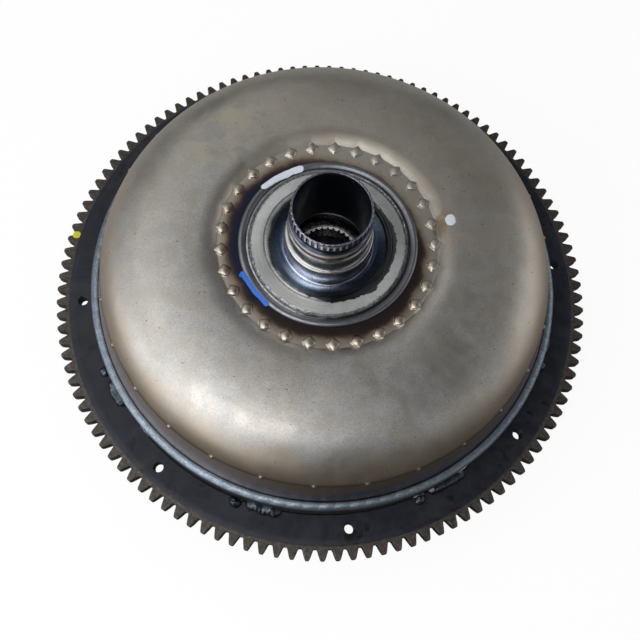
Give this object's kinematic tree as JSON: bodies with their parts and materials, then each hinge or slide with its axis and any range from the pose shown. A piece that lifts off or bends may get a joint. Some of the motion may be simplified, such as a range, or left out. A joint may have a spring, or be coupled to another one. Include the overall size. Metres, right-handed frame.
{
  "type": "torque converter",
  "caption": "Welded torque converter: domed impeller casing with stepped hub neck, toothed starter ring plate, turbine, stator with one-way clutch, and spring-damped lock-up clutch inside.",
  "frame": {"origin": "on the axis of rotation, in the engine-side face of the ring-gear plate", "axes": "+Z along the axis of rotation, from the engine side to the hub neck; +X and +Y in the plate's face, with a drive hole at 11.2 degrees from +X"},
  "size_m": [0.3025, 0.3024, 0.1288],
  "materials": {
    "shell_steel": "pressed steel, satin, tan and grey heat tint, blue ring at the hub weld",
    "cover_steel": "pressed steel with dark scale and an oil film",
    "oxide_plate": "blue-black oxide, brownish bare teeth, satin",
    "weld_bead": "rippled weld metal, blue-grey, bright to dark",
    "pressed_steel": "pressed and brazed sheet steel, oiled, satin",
    "hub_steel": "turned and ground steel, polished journals with straw and blue heat bands",
    "race_steel": "ground and hardened bearing steel",
    "rivet_steel": "cold-headed steel, satin",
    "spring_steel": "oil-tempered wire, dark satin",
    "cast_alloy": "die-cast aluminium, fine matte skin",
    "bronze": "bearing bronze, turned, satin",
    "seal_plastic": "smooth black seal ring",
    "friction_paper": "oil-soaked brown friction paper with cut oil grooves"
  },
  "bodies": {
    "casing": {"front_cover": "cover_steel", "pilot_boss": "cover_steel", "pilot_weld": "weld_bead", "ring_gear_plate": "oxide_plate", "plate_welds": "weld_bead", "seam_weld": "weld_bead", "impeller_shell": "shell_steel", "impeller_blades": "pressed_steel", "impeller_core_ring": "pressed_steel", "impeller_hub": "hub_steel", "hub_weld": "weld_bead", "bearing_race_hub": "race_steel"},
    "turbine": {"turbine_shell": "pressed_steel", "turbine_blades": "pressed_steel", "turbine_core_ring": "pressed_steel", "turbine_hub": "hub_steel", "turbine_rivets": "rivet_steel", "driven_plate": "pressed_steel", "driven_plate_rivets": "rivet_steel", "piston_seal": "seal_plastic", "front_thrust_washer": "bronze", "bearing_race_turbine": "race_steel"},
    "damper": {"damper_front_plate": "pressed_steel", "damper_rear_plate": "pressed_steel", "damper_spacers": "rivet_steel", "damper_springs": "spring_steel"},
    "piston": {"lockup_piston": "pressed_steel", "friction_lining": "friction_paper"},
    "stator": {"stator_wheel": "cast_alloy", "clutch_outer_race": "race_steel", "clutch_rollers": "race_steel", "clutch_springs": "spring_steel", "clutch_end_plates": "bronze", "stator_cap": "pressed_steel", "snap_ring": "spring_steel", "bearing_race_stator_top": "race_steel", "bearing_race_stator_bottom": "race_steel"},
    "clutch_inner_race": {"inner_race": "race_steel"},
    "upper_cage": {"upper_bearing_cage": "bronze", "upper_bearing_needles": "race_steel"},
    "lower_cage": {"lower_bearing_cage": "bronze", "lower_bearing_needles": "race_steel"}
  },
  "joints": [
    {"name": "turbine_spin", "type": "hinge", "parent": "casing", "child": "turbine", "pos_m": [0, 0, 0.02], "axis": [0, 0, 1], "continuous": true},
    {"name": "stator_freewheel", "type": "hinge", "parent": "casing", "child": "stator", "pos_m": [0, 0, 0.045], "axis": [0, 0, 1], "continuous": true},
    {"name": "inner_race_spin", "type": "hinge", "parent": "casing", "child": "clutch_inner_race", "pos_m": [0, 0, 0.045], "axis": [0, 0, 1], "continuous": true},
    {"name": "damper_twist", "type": "hinge", "parent": "turbine", "child": "damper", "pos_m": [0, 0, 0.007], "axis": [0, 0, 1], "range_deg": [-4, 4], "stiffness_Nm_per_rad": 600, "deforming": ["damper_springs"]},
    {"name": "piston_slide", "type": "slide", "parent": "damper", "child": "piston", "axis": [0, 0, -1], "range_m": [0, 0.00095]},
    {"name": "upper_cage_spin", "type": "hinge", "parent": "casing", "child": "upper_cage", "pos_m": [0, 0, 0.0589], "axis": [0, 0, 1], "continuous": true},
    {"name": "lower_cage_spin", "type": "hinge", "parent": "casing", "child": "lower_cage", "pos_m": [0, 0, 0.0315], "axis": [0, 0, 1], "continuous": true}
  ],
  "couplings": [
    {"joint": "upper_cage_spin", "follows": "stator_freewheel", "ratio": 0.5},
    {"joint": "lower_cage_spin", "follows": "turbine_spin", "ratio": 0.5}
  ]
}
